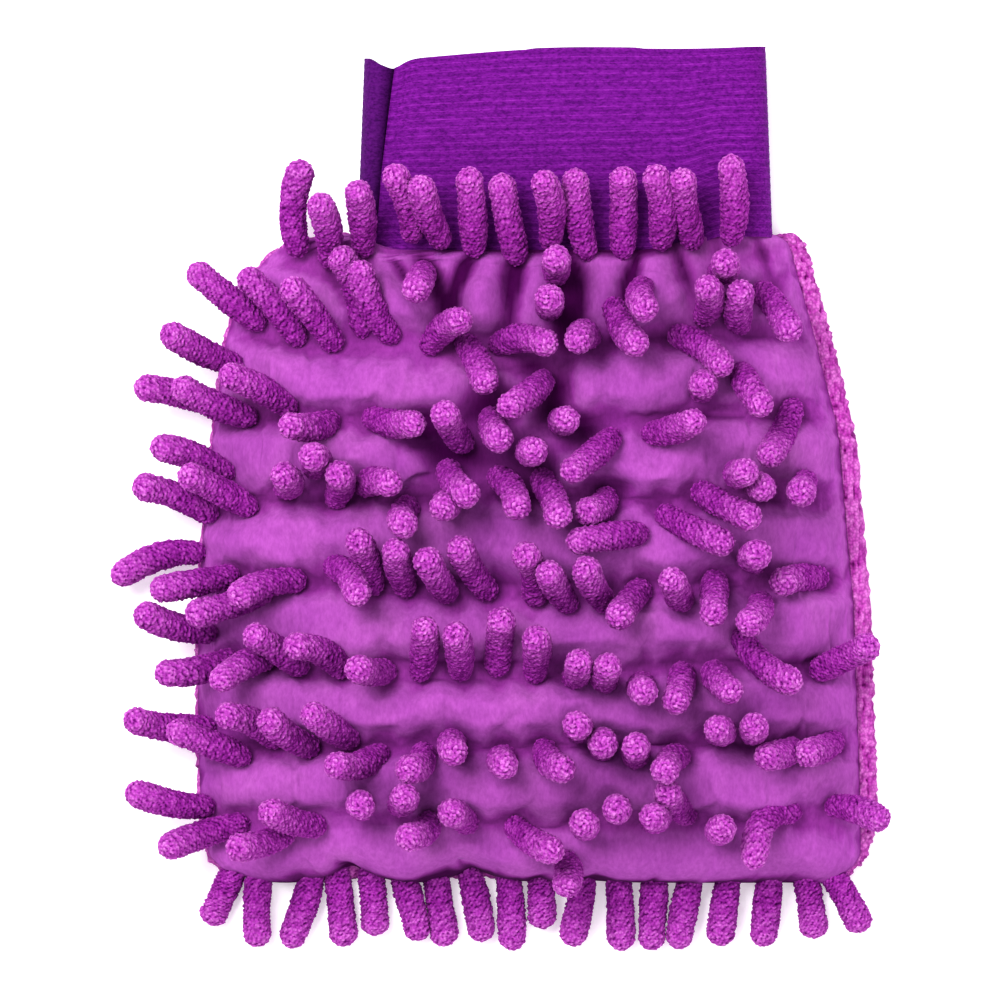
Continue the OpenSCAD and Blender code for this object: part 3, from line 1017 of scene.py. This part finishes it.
def cuff_path(edge):
    """The strip's middle line in the XZ plane: lapped end, left fold, back layer, right fold, front layer."""
    low_x, high_x = CUFF_BACK_LOW[0], CUFF_BACK_HIGH[0]
    low_z, high_z = CUFF_BACK_LOW[2] + WEB_T / 2, CUFF_FRONT_HIGH[2] - WEB_T / 2
    hump_z = high_z - 1.6 * MM
    radius = (high_z - low_z) / 2
    left, right = low_x + 4.5 * MM, high_x - radius - WEB_T / 2
    fold_z, fold_r = (hump_z + low_z) / 2, (hump_z - low_z) / 2
    path = []
    for s in np.linspace(0, 1, 20):
        x = edge + 8 * MM + s * (left - edge - 8 * MM)
        down = 3.3 * MM * smooth_step((x - left) / (edge + 0.8 * MM - left))
        joined = smooth_step((x - edge - 0.8 * MM) / (5 * MM))
        path.append((x, (hump_z - down) * (1 - joined) + (high_z - WEB_T - 0.3 * MM) * joined))
    for a in np.linspace(90, 270, 21)[1:]:
        turn = math.radians(a)
        path.append((left + (4.5 * MM - WEB_T / 2) * math.cos(turn), fold_z + fold_r * math.sin(turn)))
    path += [(x, low_z) for x in np.linspace(left, right, 70)[1:]]
    for a in np.linspace(-90, 90, 19)[1:]:
        turn = math.radians(a)
        path.append((right + radius * math.cos(turn), (high_z + low_z) / 2 + radius * math.sin(turn)))
    for x in np.linspace(right, edge, 80)[1:]:
        droop = 2.6 * MM * (1 - smooth_step((x - edge) / (7 * MM)))
        path.append((x, high_z - droop))
    return np.array(path)


def make_cuff():
    """The elastic loop: ribbed webbing whose front layer ends over the lapped back layer."""
    low_x, high_x = CUFF_BACK_LOW[0], CUFF_BACK_HIGH[0]
    rows = RIB_COUNT * 7 + 1
    shares = np.linspace(0, 1, rows)
    start_y = CUFF_BACK_LOW[1] - 2 * MM
    middle_x = (low_x + high_x) / 2
    phase = shares * RIB_COUNT * 2 * math.pi
    profile = 0.5 * (0.5 + 0.5 * np.cos(phase)) + 0.5 * (0.5 + 0.5 * np.cos(3 * phase))
    outer, inner, ribs = [], [], []
    for share, rib in zip(shares, profile):
        path = cuff_path(FOLD_LOW_X + (FOLD_HIGH_X - FOLD_LOW_X) * share)
        step = np.gradient(path, axis=0)
        step /= np.linalg.norm(step, axis=1, keepdims=True)
        outward = np.stack([-step[:, 1], step[:, 0]], axis=1) * -1
        x = middle_x + (path[:, 0] - middle_x) * (1 - CUFF_TAPER * (share - 0.5))
        front = smooth_step((path[:, 1] - 7 * MM) / (5 * MM))
        belly = np.sin(np.clip((x - low_x) / (high_x - low_x), 0, 1) * math.pi)
        end_y = CUFF_FRONT_HIGH[1] + 1.6 * MM - (high_x - x) * math.tan(math.radians(CUFF_SLOPE))
        edge_wave = 0.8 * MM * np.sin(x / (16 * MM) + 0.9)
        edge_wave -= 2.2 * MM * np.exp(-((x - FOLD_HIGH_X) / (4 * MM)) ** 2)
        edge_wave += 1.5 * MM * np.exp(-((x - low_x) / (4 * MM)) ** 2)
        begin_y = start_y - 4 * MM * front + 5 * MM * front * smooth_step((x - 48 * MM) / (12 * MM))
        back_rise = smooth_step((x - 2 * MM) / (8 * MM)) * smooth_step((44 * MM - x) / (8 * MM))
        edge_wave += 0.9 * MM * (1 - front) * back_rise
        y = begin_y + share * (end_y - begin_y + edge_wave * share**3)
        z = path[:, 1] + front * belly * (0.9 * math.sin(share * 2.4) - 0.8 * share**3) * MM
        z -= 1.2 * MM * front * (1 - smooth_step((y - begin_y) / (9 * MM)))
        shape = np.stack([x, y, z], axis=1)
        face = np.stack([outward[:, 0], 0 * y, outward[:, 1]], axis=1)
        outer.append(shape + face * (WEB_T / 2 + 0.13 * MM * (rib - 0.5)))
        inner.append(shape - face * WEB_T / 2)
        edge = middle_x + (path[-1, 0] - middle_x) * (1 - CUFF_TAPER * (share - 0.5))
        # Painted shadow: the strip behind the front layer's edge is darkest beside the edge, and stays darker
        # than the front layer's ribs further off.
        behind_edge = 0.3 * (1 - np.exp(np.minimum(x - edge, 0) / (2.2 * MM)))
        ribs.append(np.where(x < edge, behind_edge, 0.4 + 0.6 * rib))
    points, faces = shell(np.array(outer), np.array(inner))
    piece = new_piece("cuff_webbing", points, faces, WEBBING)
    ribs = np.concatenate(ribs)
    set_attribute(piece, "rib", np.concatenate([ribs, ribs]))
    on_front(piece, "cuff_front", "cuff_back")


make_cuff()


# ---------------------------------------------------------------- plush back
HEM_INSET = 3.5 * MM
# How much taller the pile stands at the rim than in the middle, as a share of its height
RIM_PILE = 1.1


def make_back():
    """The back panel: a flat cushion of small upright crumbs, tallest round its rim."""
    rows, columns = 190, 200
    pile_height = 0.9 * MM
    low_y = BACK_LOW[1] + HEM_INSET
    ys = low_y + (BACK_HIGH[1] - low_y) * eased(rows, 0.1)
    shares = eased(columns, 0.11)
    middle_z = 0.55 * BACK_HIGH[2]
    grids, rims = [], []
    for face in (1, -1):
        grid = np.zeros((rows, columns, 3))
        for j, y in enumerate(ys):
            left, right = back_left(y), back_right(y)
            xs = left + (right - left) * shares
            near = np.minimum(np.minimum(xs - left, right - xs), min(y - low_y, BACK_HIGH[1] - y + 4 * MM))
            curve = np.sqrt(np.clip(1 - (1 - np.clip(near / (3 * MM), 0, 1)) ** 2, 0, 1))
            rims.append(1 - np.clip(near / (5 * MM), 0, 1))
            depth = (BACK_HIGH[2] - middle_z) if face > 0 else (middle_z - pile_height)
            grid[j] = np.stack([xs, np.full(columns, y), middle_z + face * depth * curve], axis=1)
        grids.append(grid)
    points, faces = shell(*grids)
    rng = np.random.default_rng(7)
    count = rows * columns
    pile = np.zeros(len(points))
    normals = np.zeros_like(points)
    for k, grid in enumerate(grids):
        du, dv = np.gradient(grid, axis=1), np.gradient(grid, axis=0)
        n = np.cross(du, dv).reshape(-1, 3)
        n /= np.maximum(np.linalg.norm(n, axis=1, keepdims=True), 1e-12)
        normals[k * count:(k + 1) * count] = n if k == 0 else -n
    cell = 1.3 * MM
    low, high = points.min(axis=0) - cell, points.max(axis=0) + cell
    nx, ny = int((high[0] - low[0]) / cell) + 2, int((high[1] - low[1]) / cell) + 2
    for k in range(2):
        part = points[k * count:(k + 1) * count]
        jitter = rng.uniform(-0.33, 0.33, (nx, ny, 2))
        tall = rng.uniform(0.5, 1.0, (nx, ny))
        u, v = (part[:, 0] - low[0]) / cell, (part[:, 1] - low[1]) / cell
        best = np.full(len(part), 9.0)
        top = np.zeros(len(part))
        for i in (-1, 0, 1):
            for j in (-1, 0, 1):
                a = np.clip(np.floor(u).astype(int) + i, 0, nx - 1)
                b = np.clip(np.floor(v).astype(int) + j, 0, ny - 1)
                gap = (a + 0.5 + jitter[a, b, 0] - u) ** 2 + (b + 0.5 + jitter[a, b, 1] - v) ** 2
                closer = gap < best
                best = np.where(closer, gap, best)
                top = np.where(closer, tall[a, b], top)
        pile[k * count:(k + 1) * count] = np.sqrt(np.clip(1 - best / 0.55, 0, 1)) * top
    tall_rim = 1 + RIM_PILE * np.concatenate(rims)
    points = points + normals * ((pile - 0.2) * pile_height * tall_rim)[:, None]
    points[:, 2] = np.maximum(points[:, 2], 0.0)
    piece = new_piece("back_plush", points, faces, PLUSH)
    set_attribute(piece, "pile", pile)
    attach(piece, "back")
    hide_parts("back_panel")


def make_back_lining():
    """The pocket's lower cloth, nearly flat on the back panel."""
    low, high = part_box("back_lining")
    rows, columns = 60, 60
    ys = np.linspace(low[1], high[1], rows)
    grid = np.zeros((rows, columns, 3))
    for j, y in enumerate(ys):
        xs = np.linspace(back_left(y) + 6 * MM, back_right(y) - 8 * MM, columns)
        grid[j] = np.stack([xs, np.full(columns, y), np.full(columns, high[2])], axis=1)
    flat = grid.reshape(-1, 3)
    flat[:, 2] += 0.12 * MM * waves(flat, 11, 30 * MM)
    under = grid - np.array((0, 0, 0.6 * MM))
    points, faces = shell(grid, under)
    piece = new_piece("pocket_back_lining", points, faces, LINING)
    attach(piece, "back")
    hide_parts("back_lining")


make_back()
make_back_lining()


# ---------------------------------------------------------------- stitching
# How far the stitches lie below the face's upper side: the nap hides them
ROW_SINK = 0.8 * MM
WRIST_SINK = 0.9 * MM


def stitches(name, lines, stitch=2.4 * MM, pitch=3.4 * MM, radius=0.32 * MM):
    """Short rounded stitches along lines of points, as one piece."""
    rings, sides = 7, 8
    points, faces = [], []
    count = 0
    for line in lines:
        line = np.array(line, float)
        gaps = np.linalg.norm(np.diff(line, axis=0), axis=1)
        reach = np.concatenate([[0], np.cumsum(gaps)])
        for start in np.arange(0, reach[-1] - stitch, pitch):
            a = np.array([np.interp(start, reach, line[:, k]) for k in range(3)])
            b = np.array([np.interp(start + stitch, reach, line[:, k]) for k in range(3)])
            axis = (b - a) / np.linalg.norm(b - a)
            side = np.cross(axis, (0, 0, 1.0) if abs(axis[2]) < 0.9 else (1.0, 0, 0))
            side /= np.linalg.norm(side)
            over = np.cross(side, axis)
            for t in np.linspace(0, 1, rings):
                r = radius * math.sqrt(max(1 - (2 * t - 1) ** 4, 0.02))
                arch = over * radius * 0.6 * math.sin(math.pi * t)
                for s in range(sides):
                    turn = 2 * math.pi * s / sides
                    around = side * math.cos(turn) + over * math.sin(turn)
                    points.append(a + (b - a) * t + arch + r * around)
            for j in range(rings - 1):
                for s in range(sides):
                    p, q = count + j * sides + s, count + j * sides + (s + 1) % sides
                    faces.append((p, p + sides, q + sides, q))
            faces.append(tuple(count + s for s in range(sides)))
            faces.append(tuple(count + (rings - 1) * sides + s for s in range(sides - 1, -1, -1)))
            count += rings * sides
    return new_piece(name, points, faces, THREAD)


for row in ROWS:
    low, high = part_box(f"row_thread_{row}")
    xs = np.linspace(low[0], high[0], 120)
    ys = SEAMS[row][0] + SEAMS[row][1](xs)
    line = [(x, y, height_on(face_tree, x, y, SEAM_Z) - ROW_SINK) for x, y in zip(xs, ys)]
    on_front(stitches(f"row_stitching_{row}", [line]), f"row_thread_{row}")

low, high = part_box("wrist_thread_front")
arch = []
for x in np.linspace(low[0], high[0], 90):
    y = WRIST_Y - WRIST_DRAW * cuff_reach(x) - 1.2 * MM
    arch.append((x, y, height_on(face_tree, x, y, high[2]) - WRIST_SINK))
on_front(stitches("wrist_stitching_front", [arch]), "wrist_thread_front")

low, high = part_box("wrist_thread_back")
under_wrist = [(x, WRIST_Y - 0.5 * MM, 0.75 * MM) for x in (low[0], high[0])]
piece = stitches("wrist_stitching_back", [under_wrist])
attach(piece, "back")
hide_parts("wrist_thread_back")

seam_ys = np.linspace(HEM_Y + 6 * MM, WRIST_Y - 8 * MM, 80)
inside = 2.6 * MM
seam_stitches = [[(edge(y) + out * inside, y, BACK_HIGH[2] + 0.2 * MM) for y in seam_ys]
                 for edge, out in ((front_left, 1), (front_right, -1))]
hem_xs = np.linspace(front_left(HEM_Y) + 6 * MM, front_right(HEM_Y) - 6 * MM, 40)
seam_stitches.append([(x, HEM_Y + 8 * MM, BACK_HIGH[2] + 0.2 * MM) for x in hem_xs])
piece = stitches("perimeter_stitching", seam_stitches, 3.0 * MM, 4.2 * MM)
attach(piece, "back")
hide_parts("perimeter_thread")

low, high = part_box("cuff_lap_thread")
lap_ys = np.linspace(low[1], high[1], 20)
lap_lines = [[(x, y, high[2] - 0.2 * MM) for y in lap_ys] for x in (low[0], high[0])]
on_front(stitches("cuff_lap_stitching", lap_lines), "cuff_lap_thread")
